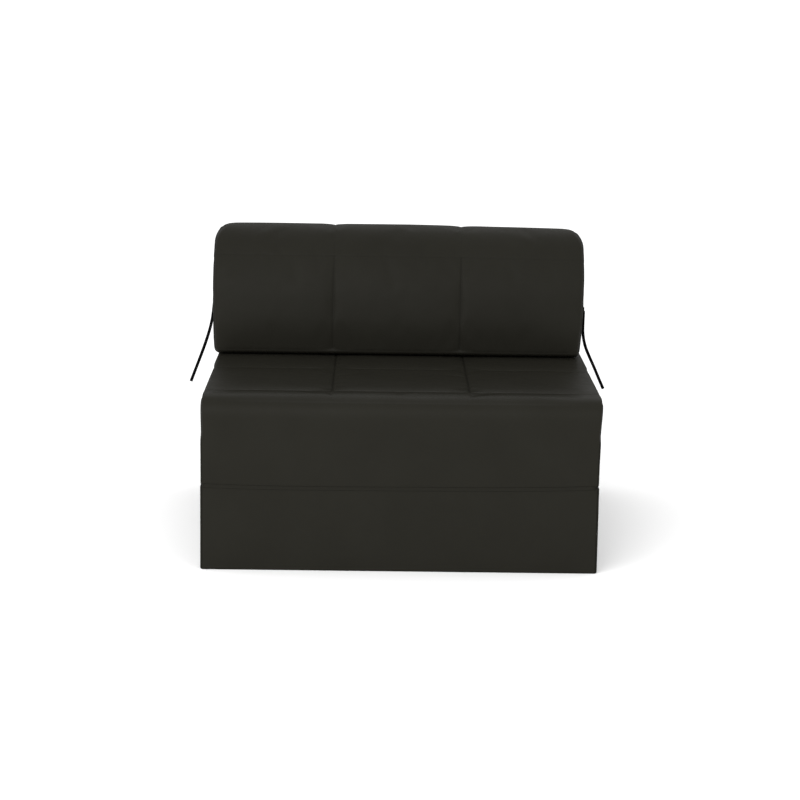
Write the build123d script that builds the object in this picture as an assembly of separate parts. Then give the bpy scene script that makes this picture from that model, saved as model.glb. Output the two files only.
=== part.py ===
from build123d import *
import os
from math import pi, radians, tan

# A single-seat futon sofa bed: two foam blocks stacked and joined along the front by a fabric hinge, with a
# loose bolster for a back, joined along the rear. The upper block swings up and over on to the floor in front.
# Sizes are in millimetres. X runs across the sofa, Y from front to rear and Z up. The origin is on the floor,
# under the middle of the closed sofa.

# Blocks
WIDTH = 900
DEPTH = 950
SEAT_HEIGHT = 400
STACK_GAP = 1
FRONT_TOP_RADIUS = 42
CREASE_RADIUS = 8
FLOOR_RADIUS = 10
REAR_RADIUS = 12
END_RADIUS = 7

HALF_WIDTH = WIDTH / 2
FRONT = -DEPTH / 2
REAR = DEPTH / 2
CREASE_Z = SEAT_HEIGHT / 2
BASE_TOP = CREASE_Z - STACK_GAP / 2
SEAT_BOTTOM = CREASE_Z + STACK_GAP / 2

# Back bolster: the corners of its side view as (y, z), and of its front view as (x, z), each with its radius
BACK_BOTTOM = SEAT_HEIGHT + STACK_GAP
BACK_REAR_TOP = (455, 692)
BACK_SIDE_VIEW = [
    ((150, BACK_BOTTOM), 42),
    ((112, 470), 150),
    ((128, 610), 280),
    ((200, 728), 95),
    (BACK_REAR_TOP, 60),
    ((REAR, BACK_BOTTOM), REAR_RADIUS),
]
BACK_SHOULDER_Z = 724
BACK_FOOT_HALF_WIDTH = 453
BACK_WAIST_HALF_WIDTH = 462
BACK_WAIST_Z = 560
BACK_WAIST_RADIUS = 1500
BACK_FOOT_CORNER = 22
BACK_SHOULDER_RADIUS = 42
BACK_REACH = 600

# Layers, from the outside in
COVER = 2
WADDING = 8
LINER = 1

# Seams between the cover's panels
END_SEAM_INSET = 12
EDGE_SEAM_INSET = 14
SEAT_FRONT_SEAM_Y = FRONT + 99
BACK_END_SEAM_X = 438
BACK_TOP_SEAM_Z = 641
BACK_REAR_SEAM_Y = 395
BACK_FOOT_SEAM_Z = BACK_BOTTOM + 14

# Fabric hinges
HINGE_STRIP_THICKNESS = 2
HINGE_STRIP_START = 3
HINGE_STRIP_HALF_LENGTH = 430

# Zips
ZIP_OPENING = 30
ZIP_CHAIN_WIDTH = 5
BLOCK_ZIP_LENGTH = 840
BACK_ZIP_LENGTH = 800
BACK_ZIP_Z = 626
SLIDER_LENGTH = 20
SLIDER_WIDTH = 11
SLIDER_THICKNESS = 2.4
SLIDER_CLEARANCE = 0.3
SLIDER_END_MARGIN = 20
EAR_THICKNESS = 1.6
EAR_WIDTH = 5
EAR_HEIGHT = 4.6
EAR_SPACING = 11
PIN_RADIUS = 1
PIN_HEIGHT = 2.6
PULL_EYE_RADIUS = 2.2
PULL_BORE_RADIUS = 1.3
PULL_WIDTH = 8
PULL_LENGTH = 22
PULL_THICKNESS = 1.4

# Ties: flat straps that hang from the ends of the back and stand a little away from the seat's sides
TIE_WIDTH = 6.5
TIE_PLATE = (30, 44)
TIE_PLATE_THICKNESS = 2
TIE_SLEEVE = (9, 10, 12)
TIE_ARC_SHARE = 0.45
LEFT_TIE_ROUTE = [
    (-465.5, 190, 520),
    (-470, 190, 492),
    (-477.5, 191, 458),
    (-487.5, 190.5, 422),
    (-499, 189, 386),
    (-510, 189.5, 353),
    (-521.5, 191, 320),
]
RIGHT_TIE_ROUTE = [
    (465.5, 190, 512),
    (467.5, 190, 484),
    (470, 190.5, 455),
    (476, 191, 425),
    (487, 190, 397),
    (500.5, 189, 369),
    (511.5, 189.5, 341),
    (523, 190, 314),
]

LOW_ALIGN = (Align.CENTER, Align.CENTER, Align.MIN)


def save(name, piece):
    piece.label = name
    export_step(piece, f"parts/{name}.step")


def box_between(low, high):
    size = [b - a for a, b in zip(low, high)]
    return Pos(*low) * Box(*size, align=(Align.MIN,) * 3)


def rounded_face(corners):
    """Face whose corners are ((across, up), radius) pairs, in the plane it is later placed on."""
    points = [point for point, _ in corners]
    return make_face(FilletPolyline(*points, radius=[radius for _, radius in corners], close=True))


def block_solid(low_z, high_z, radii, inset=0, low_inset=None, high_inset=None):
    """One block, or what is left of it inside layers of the given thickness.

    radii are those of the front-bottom, rear-bottom, rear-top and front-top edges.
    """
    low = low_z + (inset if low_inset is None else low_inset)
    high = high_z - (inset if high_inset is None else high_inset)
    front, rear = FRONT + inset, REAR - inset
    points = [(front, low), (rear, low), (rear, high), (front, high)]
    side_view = rounded_face([(point, radius - inset) for point, radius in zip(points, radii)])
    block = extrude(Plane.YZ * side_view, amount=HALF_WIDTH - inset, both=True)
    ends = block.faces().sort_by(Axis.X)
    return fillet(ends[0].edges() + ends[-1].edges(), END_RADIUS - inset)


def base_solid(**insets):
    return block_solid(0, BASE_TOP, (FLOOR_RADIUS, FLOOR_RADIUS, CREASE_RADIUS, CREASE_RADIUS), **insets)


def seat_solid(**insets):
    radii = (CREASE_RADIUS, CREASE_RADIUS, REAR_RADIUS, FRONT_TOP_RADIUS)
    return block_solid(SEAT_BOTTOM, SEAT_HEIGHT, radii, **insets)


def back_front_view():
    corners = [
        ((-BACK_FOOT_HALF_WIDTH, BACK_BOTTOM), BACK_FOOT_CORNER),
        ((BACK_FOOT_HALF_WIDTH, BACK_BOTTOM), BACK_FOOT_CORNER),
        ((BACK_WAIST_HALF_WIDTH, BACK_WAIST_Z), BACK_WAIST_RADIUS),
        ((BACK_FOOT_HALF_WIDTH, BACK_SHOULDER_Z), BACK_SHOULDER_RADIUS),
        ((-BACK_FOOT_HALF_WIDTH, BACK_SHOULDER_Z), BACK_SHOULDER_RADIUS),
        ((-BACK_WAIST_HALF_WIDTH, BACK_WAIST_Z), BACK_WAIST_RADIUS),
    ]
    return rounded_face(corners)


def back_solid(inset=0):
    """The bolster is where its side view, run across, meets its front view, run from front to rear."""
    side_view = rounded_face(BACK_SIDE_VIEW)
    front_view = back_front_view()
    if inset:
        side_view = offset(side_view, amount=-inset)
        front_view = offset(front_view, amount=-inset)
    across = extrude(Plane.YZ * side_view, amount=BACK_REACH, both=True)
    through = extrude(Plane.XZ * front_view, amount=BACK_REACH, both=True)
    return across & through


def cut_panels(shell, regions):
    """Cuts a cover into panels. Each region takes what the ones before it left, and the last name the rest."""
    panels = {}
    *boxed, (last_name, _) = regions
    for name, region in boxed:
        panels[name] = shell & region
        shell = shell - region
    panels[last_name] = shell
    return panels


def whole_region(low=(None, None, None), high=(None, None, None)):
    """Box that reaches far past the sofa on each side that is None."""
    reach = 2 * DEPTH
    return box_between([-reach if v is None else v for v in low], [reach if v is None else v for v in high])


def block_regions(prefix, low_z, front_seam_y):
    end_x = HALF_WIDTH - END_SEAM_INSET
    return [
        (f"{prefix}_cover_left", whole_region(high=(-end_x, None, None))),
        (f"{prefix}_cover_right", whole_region(low=(end_x, None, None))),
        (
            f"{prefix}_cover_underside",
            whole_region(
                low=(None, FRONT + EDGE_SEAM_INSET, None),
                high=(None, REAR - EDGE_SEAM_INSET, low_z + EDGE_SEAM_INSET),
            ),
        ),
        (f"{prefix}_cover_rear", whole_region(low=(None, REAR - EDGE_SEAM_INSET, None))),
        (f"{prefix}_cover_front", whole_region(high=(None, front_seam_y, None))),
        (f"{prefix}_cover_top", None),
    ]


def back_regions():
    return [
        ("back_cover_left", whole_region(high=(-BACK_END_SEAM_X, None, None))),
        ("back_cover_right", whole_region(low=(BACK_END_SEAM_X, None, None))),
        ("back_cover_underside", whole_region(high=(None, None, BACK_FOOT_SEAM_Z))),
        ("back_cover_rear", whole_region(low=(None, BACK_REAR_SEAM_Y, None))),
        ("back_cover_top", whole_region(low=(None, None, BACK_TOP_SEAM_Z))),
        ("back_cover_front", None),
    ]


def zip_plane(origin, along, outward):
    """Frame of a zip: x runs the way the slider opens it, y up the panel and z out of it."""
    return Plane(origin=origin, x_dir=along, z_dir=outward)


def left_end_zip_plane(height):
    return zip_plane((-HALF_WIDTH, 0, height), (0, -1, 0), (-1, 0, 0))


def back_zip_plane():
    """On the bolster's rear face, which leans forward a little towards its top."""
    top_y, top_z = BACK_REAR_TOP
    lean = Vector(0, top_z - BACK_BOTTOM, REAR - top_y).normalized()
    share = (BACK_ZIP_Z - BACK_BOTTOM) / (top_z - BACK_BOTTOM)
    return zip_plane((0, REAR + share * (top_y - REAR), BACK_ZIP_Z), (-1, 0, 0), lean)


def zip_window(plane, length):
    return plane * Pos(0, 0, -COVER) * Box(length, ZIP_OPENING, COVER, align=LOW_ALIGN)


def zip_tape(plane, length):
    """Two woven strips, one sewn to each side of the opening."""
    width = (ZIP_OPENING - ZIP_CHAIN_WIDTH) / 2
    strips = []
    for side in (-1, 1):
        middle = side * (ZIP_CHAIN_WIDTH + width) / 2
        strips.append(plane * Pos(0, middle, -COVER) * Box(length, width, COVER, align=LOW_ALIGN))
    return Compound(children=strips)


def zip_chain(plane, length):
    return plane * Pos(0, 0, -COVER) * Box(length, ZIP_CHAIN_WIDTH, COVER, align=LOW_ALIGN)


def slider_place(plane, length):
    """The closed slider's frame, near the end that it opens from."""
    return plane * Pos(SLIDER_END_MARGIN - length / 2, 0, SLIDER_CLEARANCE)


def zip_slider(place):
    slider = Box(SLIDER_LENGTH, SLIDER_WIDTH, SLIDER_THICKNESS, align=LOW_ALIGN)
    for side in (-1, 1):
        ear_x = side * EAR_SPACING / 2
        slider += Pos(ear_x, 0, SLIDER_THICKNESS) * Box(EAR_THICKNESS, EAR_WIDTH, EAR_HEIGHT, align=LOW_ALIGN)
    pin = Pos(0, 0, SLIDER_THICKNESS + PIN_HEIGHT) * Rot(0, 90, 0) * Cylinder(PIN_RADIUS, EAR_SPACING)
    return place * (slider + pin)


def zip_pull(place):
    """A flat tab that hangs by its eye from the slider's pin."""
    eye = Rot(0, 90, 0) * Cylinder(PULL_EYE_RADIUS, PULL_WIDTH)
    tab = box_between(
        (-PULL_WIDTH / 2, -PULL_LENGTH, -PULL_THICKNESS / 2), (PULL_WIDTH / 2, 0, PULL_THICKNESS / 2)
    )
    bore = Rot(0, 90, 0) * Cylinder(PULL_BORE_RADIUS, 2 * PULL_WIDTH)
    return place * Pos(0, 0, SLIDER_THICKNESS + PIN_HEIGHT) * (eye + tab - bore)


def zip_pieces(prefix, plane, length):
    place = slider_place(plane, length)
    return {
        f"{prefix}_zip_tape": zip_tape(plane, length),
        f"{prefix}_zip_chain": zip_chain(plane, length),
        f"{prefix}_zip_slider": zip_slider(place),
        f"{prefix}_zip_pull": zip_pull(place),
    }


def hinge_strip(face_y, inward, edge_z, away, radius, body):
    """Half of a fabric hinge: a strip along a block's edge, sewn to the cover where the edge starts to round.

    inward is the sign of Y into the block, and away the sign of Z from the edge into the block.
    """
    ys = sorted((face_y, face_y + inward * HINGE_STRIP_THICKNESS))
    zs = sorted((edge_z, edge_z + away * (radius - HINGE_STRIP_START)))
    strip = box_between((-HINGE_STRIP_HALF_LENGTH, ys[0], zs[0]), (HINGE_STRIP_HALF_LENGTH, ys[1], zs[1]))
    return strip - body


def tie_frame(route):
    """Frame at the start of a tie whose z points back up the tie, into its sleeve."""
    start, after = Vector(*route[0]), Vector(*route[1])
    return Plane(origin=start, x_dir=(1, 0, 0), z_dir=(start - after).normalized())


def tie_anchor(route, body):
    """A patch sewn to the end of the back, with the sleeve that the tie comes out of."""
    x, y, z = route[0]
    side = 1 if x > 0 else -1
    width, height = TIE_PLATE
    face_x = side * (BACK_FOOT_HALF_WIDTH + BACK_WAIST_HALF_WIDTH) / 2
    outer_x = side * (BACK_WAIST_HALF_WIDTH + TIE_PLATE_THICKNESS - COVER / 2)
    xs = sorted((face_x, outer_x))
    plate = box_between((xs[0], y - width / 2, z), (xs[1], y + width / 2, z + height))
    sleeve = tie_frame(route) * Box(*TIE_SLEEVE, align=LOW_ALIGN)
    return (plate + sleeve) - body


def tie_tube(name, route):
    """Straight runs joined by tangent arcs, each as large as its two runs allow."""
    points = [Vector(*point) for point in route]
    runs = [b - a for a, b in zip(points, points[1:])]
    radii = []
    for before, after in zip(runs, runs[1:]):
        half_turn = radians(before.get_angle(after)) / 2
        radii.append(TIE_ARC_SHARE * min(before.length, after.length) / tan(half_turn))
    path = FilletPolyline(*points, radius=radii)
    tube = sweep(tie_frame(route) * Circle(TIE_WIDTH / 2), path=path)
    expected = pi * (TIE_WIDTH / 2) ** 2 * path.length
    print(name, "radii", [round(radius) for radius in radii], "length", round(path.length, 1))
    print(name, "volume over section x length", round(tube.volume / expected, 4))
    return tube


def stuffing(prefix, filling, liner_inside):
    return {f"{prefix}_foam": liner_inside, f"{prefix}_liner": filling - liner_inside}


def base_pieces():
    outer = base_solid()
    plane = left_end_zip_plane(BASE_TOP / 2)
    cavity = base_solid(inset=COVER)
    pieces = cut_panels(outer - cavity, block_regions("base", 0, FRONT + EDGE_SEAM_INSET))
    pieces["base_cover_left"] -= zip_window(plane, BLOCK_ZIP_LENGTH)
    wadding_region = whole_region(low=(None, None, BASE_TOP - COVER - WADDING))
    pieces["base_sleeping_wadding"] = cavity & wadding_region
    skin = COVER + LINER
    foam = base_solid(inset=skin, high_inset=skin + WADDING)
    pieces |= stuffing("base", cavity - wadding_region, foam)
    pieces |= zip_pieces("base", plane, BLOCK_ZIP_LENGTH)
    pieces["front_hinge_lower"] = hinge_strip(FRONT, 1, BASE_TOP, -1, CREASE_RADIUS, outer)
    return pieces


def seat_pieces():
    outer = seat_solid()
    plane = left_end_zip_plane((SEAT_BOTTOM + SEAT_HEIGHT) / 2)
    cavity = seat_solid(inset=COVER)
    pieces = cut_panels(outer - cavity, block_regions("seat", SEAT_BOTTOM, SEAT_FRONT_SEAM_Y))
    pieces["seat_cover_left"] -= zip_window(plane, BLOCK_ZIP_LENGTH)
    top_region = whole_region(low=(None, None, SEAT_HEIGHT - COVER - WADDING))
    sleeping_region = whole_region(high=(None, None, SEAT_BOTTOM + COVER + WADDING))
    pieces["seat_top_wadding"] = cavity & top_region
    pieces["seat_sleeping_wadding"] = cavity & sleeping_region
    skin = COVER + LINER
    foam = seat_solid(inset=skin, low_inset=skin + WADDING, high_inset=skin + WADDING)
    pieces |= stuffing("seat", cavity - top_region - sleeping_region, foam)
    pieces |= zip_pieces("seat", plane, BLOCK_ZIP_LENGTH)
    pieces["front_hinge_upper"] = hinge_strip(FRONT, 1, SEAT_BOTTOM, 1, CREASE_RADIUS, outer)
    pieces["rear_hinge_lower"] = hinge_strip(REAR, -1, SEAT_HEIGHT, -1, REAR_RADIUS, outer)
    return pieces


def back_pieces():
    outer = back_solid()
    plane = back_zip_plane()
    cavity = back_solid(COVER)
    pieces = cut_panels(outer - cavity, back_regions())
    pieces["back_cover_rear"] -= zip_window(plane, BACK_ZIP_LENGTH)
    pieces["back_wadding"] = cavity - back_solid(COVER + WADDING)
    filling = back_solid(COVER + WADDING)
    pieces |= stuffing("back", filling, back_solid(COVER + WADDING + LINER))
    pieces |= zip_pieces("back", plane, BACK_ZIP_LENGTH)
    pieces["rear_hinge_upper"] = hinge_strip(REAR, -1, BACK_BOTTOM, 1, REAR_RADIUS, outer)
    for name, route in (("left_tie", LEFT_TIE_ROUTE), ("right_tie", RIGHT_TIE_ROUTE)):
        pieces[f"{name}_anchor"] = tie_anchor(route, outer)
        pieces[name] = tie_tube(name, route)
    return pieces


os.makedirs("parts", exist_ok=True)
for name, piece in (base_pieces() | seat_pieces() | back_pieces()).items():
    save(name, piece)
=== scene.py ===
import math
from collections import namedtuple

import bmesh
import bpy
import numpy as np
from mathutils import Matrix, Vector
from mathutils.bvhtree import BVHTree


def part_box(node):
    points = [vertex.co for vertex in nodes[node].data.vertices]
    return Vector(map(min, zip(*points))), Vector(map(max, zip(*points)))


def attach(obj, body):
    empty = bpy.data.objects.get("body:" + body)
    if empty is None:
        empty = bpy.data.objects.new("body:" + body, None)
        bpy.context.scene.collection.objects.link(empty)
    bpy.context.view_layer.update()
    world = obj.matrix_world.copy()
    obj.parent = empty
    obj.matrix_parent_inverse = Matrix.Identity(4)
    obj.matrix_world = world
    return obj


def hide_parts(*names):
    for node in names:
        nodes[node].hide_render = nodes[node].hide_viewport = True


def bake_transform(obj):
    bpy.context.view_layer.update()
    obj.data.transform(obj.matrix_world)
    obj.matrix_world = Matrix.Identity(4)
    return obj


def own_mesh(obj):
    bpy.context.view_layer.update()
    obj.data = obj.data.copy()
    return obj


# A futon sofa bed: two stacked blocks and a back bolster, each a foam core in a faux leather cover.
# Everything is in metres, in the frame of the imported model: X across, Y from front to rear, Z up.
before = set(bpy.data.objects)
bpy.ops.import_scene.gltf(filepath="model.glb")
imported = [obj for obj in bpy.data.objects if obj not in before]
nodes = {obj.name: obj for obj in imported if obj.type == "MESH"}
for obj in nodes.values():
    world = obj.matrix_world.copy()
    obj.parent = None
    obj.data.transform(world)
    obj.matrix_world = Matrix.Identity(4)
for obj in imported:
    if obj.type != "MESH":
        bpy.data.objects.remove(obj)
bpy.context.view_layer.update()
scene = bpy.context.scene

# ---- sizes

PANELS = ("left", "right", "underside", "rear", "front", "top")
COLUMN_SEAM = 0.155  # seams from front to rear, each side of the middle
ROW_PITCH = 0.31  # seams across the seat, from its front seam back
SLEEPING_ROW = 0.158  # seams across each sleeping surface, each side of the middle
EXACT = 1e-5  # two places are the same when they are nearer than this
GRID_STEP = 0.0125  # between the even grid lines of every mesh
CLOSE_GAP = 0.0006  # extra grid lines keep at least this far apart
STEP_GAP = 0.0068  # even steps keep at least this far from the other lines
SEAM_FLANKS = (-0.008, -0.003, 0.003, 0.008)  # extra grid lines beside a seam
ZIP_FLANKS = (-0.0015, 0.0015)  # the same beside a zip
EDGE_FRACTIONS = (0.22, 0.45, 0.72, 1.0)  # extra grid lines through a rounded edge

GROOVE_DEPTH = 0.0022  # the narrow line where a seam pulls the cover in
GROOVE_WIDTH = 0.0022
DIP_DEPTH = 0.0024  # the wide, shallow dip round it
DIP_WIDTH = 0.024
SEAM_END = 0.004  # a seam fades out over this, each side of its ends
PUCKER_HEIGHT = 0.0003
PUCKER_PITCH = 0.026
PUCKER_REACH = 0.018
PUCKER_ACROSS = 0.25  # puckers change this much slower away from the seam than along it
PUCKER_PATCH = 6  # they come and go over this many of their own lengths
SEAM_SHIFT = 0.7  # keeps one seam's puckers from repeating the last one's
PATCH_SEED = 50
WAVE_COUNT = 9  # waves that add up to one random field
WAVE_SPREAD = (0.6, 1.5)

CREASE_SAG = 0.0055  # how far the front crease hangs in the middle
CREASE_DROP = 0.0015  # how far it hangs at both ends
CREASE_TILT = 0.0025  # how far its right end is higher, and its left end lower
CREASE_POWER = 4
CREASE_FADE = 0.070  # behind the front face

STITCH_PITCH = 0.0048
STITCH_RADIUS = 0.00038
STITCH_SIDES = 6
# share of its length, lift, width
STITCH_SHAPE = ((0, -0.6, 0.6), (0.2, 0.5, 1), (0.5, 0.7, 1), (0.8, 0.5, 1), (1, -0.6, 0.6))
STITCH_SPAN = (0.15, 0.85)  # the share of its pitch that a stitch covers

ZIP_RECESS = 0.0028  # how deep the zips lie in the covers

STRAP_WIDTH = 0.0078
STRAP_THICKNESS = 0.0026
LEFT_TIE_ROUTE = [
    (-0.4655, 0.190, 0.520),
    (-0.4680, 0.190, 0.492),
    (-0.4750, 0.191, 0.458),
    (-0.4860, 0.1905, 0.422),
    (-0.4990, 0.189, 0.386),
    (-0.5115, 0.1895, 0.353),
    (-0.5240, 0.191, 0.320),
]
RIGHT_TIE_ROUTE = [
    (0.4640, 0.190, 0.512),
    (0.4635, 0.190, 0.484),
    (0.4635, 0.1905, 0.455),
    (0.4690, 0.191, 0.425),
    (0.4810, 0.190, 0.397),
    (0.4945, 0.189, 0.369),
    (0.5065, 0.1895, 0.341),
    (0.5190, 0.190, 0.314),
]

# ---- camera

CAMERA_PLACE = (-0.056, -5.777, 1.352)
CAMERA_PITCH = math.radians(10.2)  # down
CAMERA_YAW = math.radians(0.586)  # to the right
CAMERA_ROLL = math.radians(0.827)
SENSOR_WIDTH = 36.0
FOCAL_LENGTH = 107.7


def add_object(name, data):
    made = bpy.data.objects.new(name, data)
    scene.collection.objects.link(made)
    return made


def make_camera():
    data = bpy.data.cameras.new("camera")
    data.sensor_width = SENSOR_WIDTH
    data.lens = FOCAL_LENGTH
    camera = add_object("camera", data)
    upright = Matrix.Rotation(-CAMERA_YAW, 4, "Z") @ Matrix.Rotation(math.pi / 2 - CAMERA_PITCH, 4, "X")
    camera.matrix_world = Matrix.Translation(CAMERA_PLACE) @ upright @ Matrix.Rotation(CAMERA_ROLL, 4, "Z")
    scene.camera = camera


make_camera()

# ---- small tools


def span(*names):
    """Lowest and highest corner round several CAD nodes."""
    boxes = [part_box(name) for name in names]
    low = np.min([np.array(box[0]) for box in boxes], axis=0)
    high = np.max([np.array(box[1]) for box in boxes], axis=0)
    return low, high


def covers(prefix):
    return [f"{prefix}_cover_{panel}" for panel in PANELS]


def make_mesh(name, points, faces):
    mesh = bpy.data.meshes.new(name)
    mesh.from_pydata([tuple(point) for point in points], [], [tuple(face) for face in faces])
    mesh.update()
    mesh.shade_smooth()
    return add_object(name, mesh)


def read_vectors(items, key):
    values = np.empty(len(items) * 3)
    items.foreach_get(key, values)
    return values.reshape(-1, 3)


def read_points(mesh):
    return read_vectors(mesh.vertices, "co")


def write_points(mesh, points):
    mesh.vertices.foreach_set("co", np.ascontiguousarray(points).ravel())
    mesh.update()


def keep_rest(mesh, rest):
    """Keeps each point's place before the cover is shaped, which seams and panels are found by."""
    rows = mesh.attributes.new("rest", "FLOAT_VECTOR", "POINT")
    rows.data.foreach_set("vector", np.ascontiguousarray(rest).ravel())


def read_rest(mesh):
    return read_vectors(mesh.attributes["rest"].data, "vector")


def smooth_step(value, start, end):
    share = np.clip((value - start) / (end - start), 0, 1)
    return share * share * (3 - 2 * share)


def ripples(points, pitch, seed):
    """Smooth random field of about -1 to 1, whose waves are about pitch long."""
    rng = np.random.default_rng(seed)
    total = np.zeros(len(points))
    for _ in range(WAVE_COUNT):
        direction = rng.normal(size=3)
        direction *= 2 * math.pi / pitch * rng.uniform(*WAVE_SPREAD) / np.linalg.norm(direction)
        total += np.sin(points @ direction + rng.uniform(0, 2 * math.pi))
    return total / math.sqrt(WAVE_COUNT)


def apply_modifiers(piece):
    """Swaps the piece's mesh for the one that its modifiers make."""
    graph = bpy.context.evaluated_depsgraph_get()
    graph.update()
    made = piece.evaluated_get(graph)
    mesh = bpy.data.meshes.new_from_object(made, preserve_all_data_layers=True, depsgraph=graph)
    piece.modifiers.clear()
    old = piece.data
    piece.data = mesh
    bpy.data.meshes.remove(old)


def subdivide(piece):
    modifier = piece.modifiers.new("subdivision", "SUBSURF")
    modifier.levels = 1
    modifier.render_levels = 1
    apply_modifiers(piece)


def thicken(piece, thickness, offset):
    """Gives a sheet its thickness: all of it in front of the sheet (1) or behind it (-1)."""
    modifier = piece.modifiers.new("thickness", "SOLIDIFY")
    modifier.thickness = thickness
    modifier.offset = offset
    apply_modifiers(piece)


def sheet_faces(columns, rows, first=0, flip=False):
    """Quads of a sheet whose points are numbered column by column, from number first on."""
    faces = []
    for i in range(columns - 1):
        for j in range(rows - 1):
            a = first + i * rows + j
            face = (a, a + rows, a + rows + 1, a + 1)
            faces.append(face[::-1] if flip else face)
    return faces


def ring_faces(rings, count, flip=False):
    """Quads between neighbouring rings of count points each."""
    faces = []
    for i in range(rings - 1):
        for j in range(count):
            k = (j + 1) % count
            a, b, c, d = i * count + j, (i + 1) * count + j, (i + 1) * count + k, i * count + k
            faces.append((a, d, c, b) if flip else (a, b, c, d))
    return faces


# ---- small parts


def add_box(work, middle, size, bevel):
    """A box with rounded edges."""
    made = bmesh.ops.create_cube(work, size=1.0)["verts"]
    bmesh.ops.scale(work, vec=size, verts=made)
    bmesh.ops.translate(work, vec=middle, verts=made)
    edges = list({edge for vert in made for edge in vert.link_edges})
    bmesh.ops.bevel(work, geom=edges, offset=bevel, segments=2, affect="EDGES", profile=0.5)


def add_stitch(work, start, end, normal):
    """One stitch: a thread that rises out of the cloth, lies along it and goes back in."""
    forward = end - start
    across = normal.cross(forward).normalized()
    rings = []
    for share, lift, width in STITCH_SHAPE:
        middle = start + forward * share + normal * STITCH_RADIUS * lift
        ring = []
        for turn in np.linspace(0, 2 * math.pi, STITCH_SIDES, endpoint=False):
            arm = across * math.cos(turn) + normal * math.sin(turn)
            ring.append(work.verts.new(middle + arm * STITCH_RADIUS * width))
        rings.append(ring)
    for first, second in zip(rings, rings[1:]):
        for j in range(STITCH_SIDES):
            k = (j + 1) % STITCH_SIDES
            work.faces.new((first[j], first[k], second[k], second[j]))


def finish_mesh(work, name, first_faces, *materials):
    """Turns the work into an object. Faces from number first_faces on take the second material."""
    work.faces.index_update()
    for face in work.faces:
        face.smooth = True
        face.material_index = int(face.index >= first_faces)
    mesh = bpy.data.meshes.new(name)
    bmesh.ops.recalc_face_normals(work, faces=work.faces)
    work.to_mesh(mesh)
    work.free()
    piece = add_object(name, mesh)
    paint(piece, *materials)
    return piece


# ---- cover meshes


def grid_lines(low, high, low_edge, high_edge, marks, flanks=SEAM_FLANKS):
    """Grid lines from low to high: on each mark and beside it, through both rounded edges, and in steps."""
    lines = [low, high, *marks]
    close = [mark + flank for mark in marks for flank in flanks]
    close += [low + low_edge * share for share in EDGE_FRACTIONS]
    close += [high - high_edge * share for share in EDGE_FRACTIONS]
    steps = np.linspace(low, high, round((high - low) / GRID_STEP) + 1)
    for extra, gap in ((close, CLOSE_GAP), (steps, STEP_GAP)):
        for line in extra:
            if low < line < high and np.min(np.abs(np.array(lines) - line)) > gap:
                lines.append(line)
    return np.sort(lines)


def box_grid(lines):
    """Points and quads of the surface of a box that is divided along X, Y and Z by the given lines."""
    index, points, quads = {}, [], []

    def corner(place):
        if place not in index:
            index[place] = len(points)
            points.append([lines[axis][place[axis]] for axis in range(3)])
        return index[place]

    for axis in range(3):
        a, b = (axis + 1) % 3, (axis + 2) % 3
        for level in (0, len(lines[axis]) - 1):
            for i in range(len(lines[a]) - 1):
                for j in range(len(lines[b]) - 1):
                    quad = []
                    for di, dj in ((0, 0), (1, 0), (1, 1), (0, 1)):
                        place = [0, 0, 0]
                        place[axis], place[a], place[b] = level, i + di, j + dj
                        quad.append(corner(tuple(place)))
                    quads.append(quad if level else quad[::-1])
    return np.array(points), quads


Radii = namedtuple("Radii", "front_top front_bottom rear_top rear_bottom")


def round_block(points, low, high, radii, end_radius):
    """Moves points of a box's surface on to the box with rounded edges."""
    middle = (low + high) / 2
    front = points[:, 1] < middle[1]
    top = points[:, 2] > middle[2]
    front_radius = np.where(top, radii.front_top, radii.front_bottom)
    radius = np.where(front, front_radius, np.where(top, radii.rear_top, radii.rear_bottom))
    reach = np.stack([np.full(len(points), end_radius), radius, radius], axis=1)
    inner = np.clip(points, low + reach, high - reach)
    outward = (points - inner) / reach
    outward /= np.linalg.norm(outward, axis=1)[:, None]
    return inner + outward * reach


CLOTH = {  # how the covers' cloth behaves while it swells
    "quality": 3,
    "mass": 0.3,
    "tension_stiffness": 25,
    "compression_stiffness": 25,
    "shear_stiffness": 10,
    "bending_stiffness": 2,
    "shrink_min": -0.003,
    "use_pressure": True,
    "vertex_group_mass": "pinned",
}
CLOTH_FRAMES = 14
NO_DIVIDE_BY_ZERO = 1e-9


def inflate(piece, pinned, pressure, cap, share=1.0):
    """The cover swells between its pinned points, as a cloth. A point moves at most cap times its share."""
    rest = read_points(piece.data)
    group = piece.vertex_groups.new(name="pinned")
    group.add([int(i) for i in np.flatnonzero(pinned)], 1.0, "REPLACE")
    cloth = piece.modifiers.new("cloth", "CLOTH")
    for key, value in CLOTH.items():
        setattr(cloth.settings, key, value)
    cloth.settings.uniform_pressure_force = pressure
    cloth.settings.effector_weights.gravity = 0
    cloth.collision_settings.use_collision = False
    cloth.point_cache.frame_end = CLOTH_FRAMES
    for number in range(1, CLOTH_FRAMES + 1):
        scene.frame_set(number)
    graph = bpy.context.evaluated_depsgraph_get()
    moved = read_points(piece.evaluated_get(graph).data) - rest
    piece.modifiers.clear()
    piece.vertex_groups.clear()
    scene.frame_set(1)
    length = np.linalg.norm(moved, axis=1)[:, None] + NO_DIVIDE_BY_ZERO
    travel = cap * np.tanh(length / cap) * np.reshape(share, (-1, 1))
    write_points(piece.data, rest + moved / length * travel)


# ---- seams


# A straight seam on the face at face_at along face_axis. It is at `at` along line_axis, from start to end.
# strength is how deep its groove is and how much painted shade darkens it, and dip how far the cover sinks
# round it.
Seam = namedtuple("Seam", "face_axis face_at line_axis at start end strength dip")


def in_face(rest, axis, at):
    """Which points lie on the face at `at` along an axis, before the cover is shaped."""
    return np.abs(rest[:, axis] - at) < EXACT


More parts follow.
